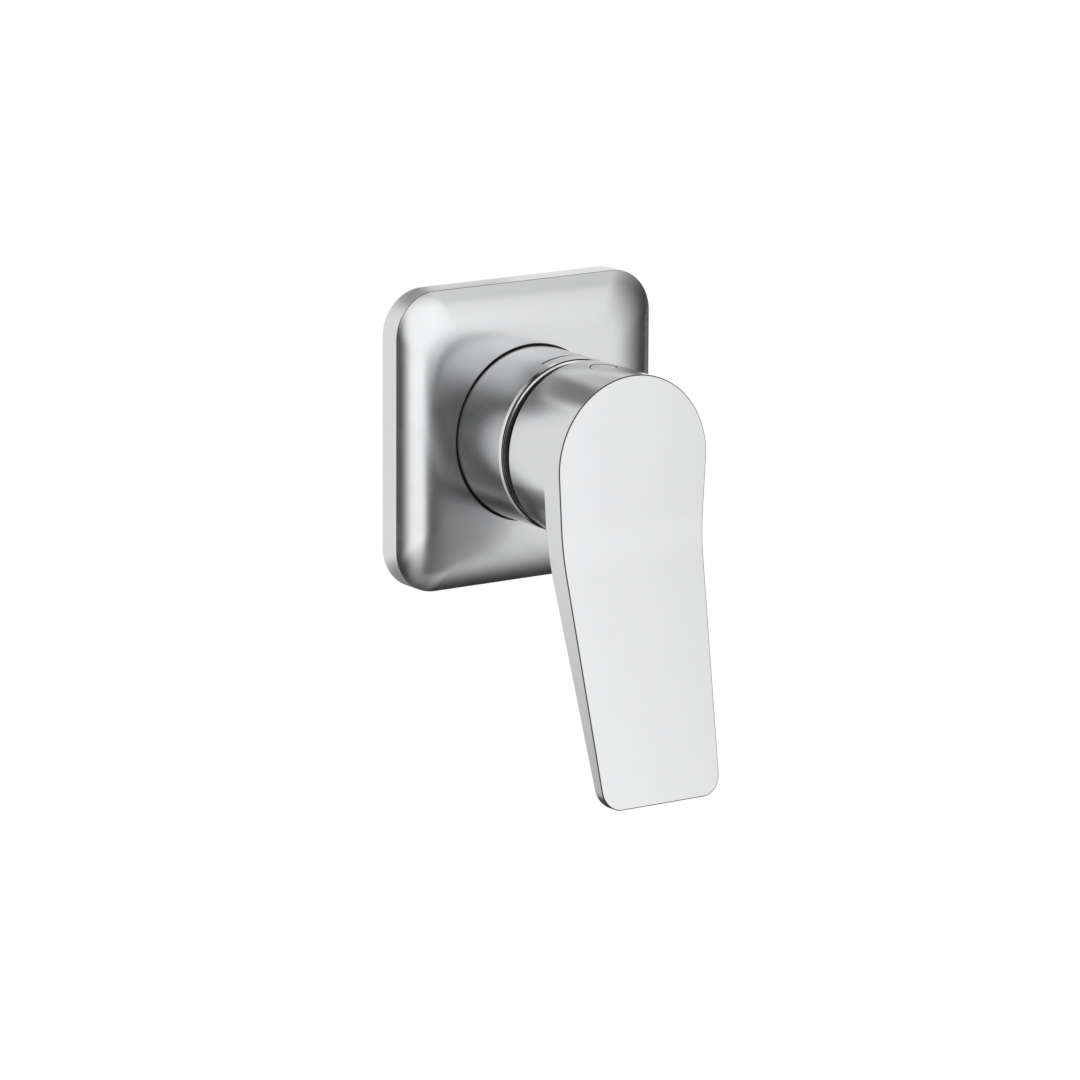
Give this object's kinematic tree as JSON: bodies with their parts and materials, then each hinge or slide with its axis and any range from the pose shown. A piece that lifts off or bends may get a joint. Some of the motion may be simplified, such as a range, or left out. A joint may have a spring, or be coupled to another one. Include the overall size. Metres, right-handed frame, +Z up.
{
  "type": "concealed single-lever mixer",
  "caption": "Single-lever bath or shower mixer for a wall: square cover plate, round sleeve, cap with a flat bent lever, ceramic disc cartridge and brass body behind the wall.",
  "frame": {"origin": "the point where the handle's axis meets the finished wall", "axes": "+Y into the wall, along the handle's axis; +Z up; +X to the right for a person who faces the wall"},
  "size_m": [0.082, 0.1226, 0.1282],
  "materials": {
    "chrome": "bright chrome with a very fine satin",
    "body_brass": "cast and tumbled",
    "turned_brass": "turned",
    "steel": "plain stainless",
    "rubber_black": "smooth",
    "foam": "closed-cell foam",
    "ceramic": "lapped ceramic",
    "plastic_white": "moulded",
    "plastic_black": "moulded",
    "plastic_blue": "moulded",
    "plastic_red": "moulded"
  },
  "bodies": {
    "fixed": {"cover_plate": "chrome", "plate_gasket": "foam", "plate_seal": "rubber_black", "sleeve": "chrome", "sleeve_seals": "rubber_black", "cap_ring": "chrome", "limit_ring": "plastic_red", "fixed_disc": "ceramic", "cartridge_housing": "plastic_white", "cartridge_base": "plastic_blue", "base_seals": "rubber_black", "slip_ring": "plastic_white", "cartridge_nut": "turned_brass", "valve_body": "body_brass", "outlet_plug": "turned_brass", "plug_seal": "rubber_black"},
    "turning_guide": {"turret": "plastic_white", "turret_seal": "rubber_black", "pivot_pin": "steel"},
    "lever": {"handle": "chrome", "handle_adapter": "plastic_black", "set_screw": "steel", "screw_cover": "chrome", "spindle": "steel"},
    "sliding_disc": {"disc_carrier": "plastic_white", "moving_disc": "ceramic"}
  },
  "joints": [
    {"name": "turn", "type": "hinge", "parent": "fixed", "child": "turning_guide", "pos_m": [0, 0, 0], "axis": [0, 1, 0], "range_deg": [-50, 50]},
    {"name": "lift", "type": "hinge", "parent": "turning_guide", "child": "lever", "pos_m": [0, -0.016, 0], "axis": [-1, 0, 0], "range_deg": [0, 25]},
    {"name": "disc_slide", "type": "slide", "parent": "turning_guide", "child": "sliding_disc", "axis": [0, 0, -1], "range_m": [0, 0.0055]}
  ],
  "couplings": [
    {"joint": "disc_slide", "follows": "lift", "m_per_rad": 0.0125}
  ]
}
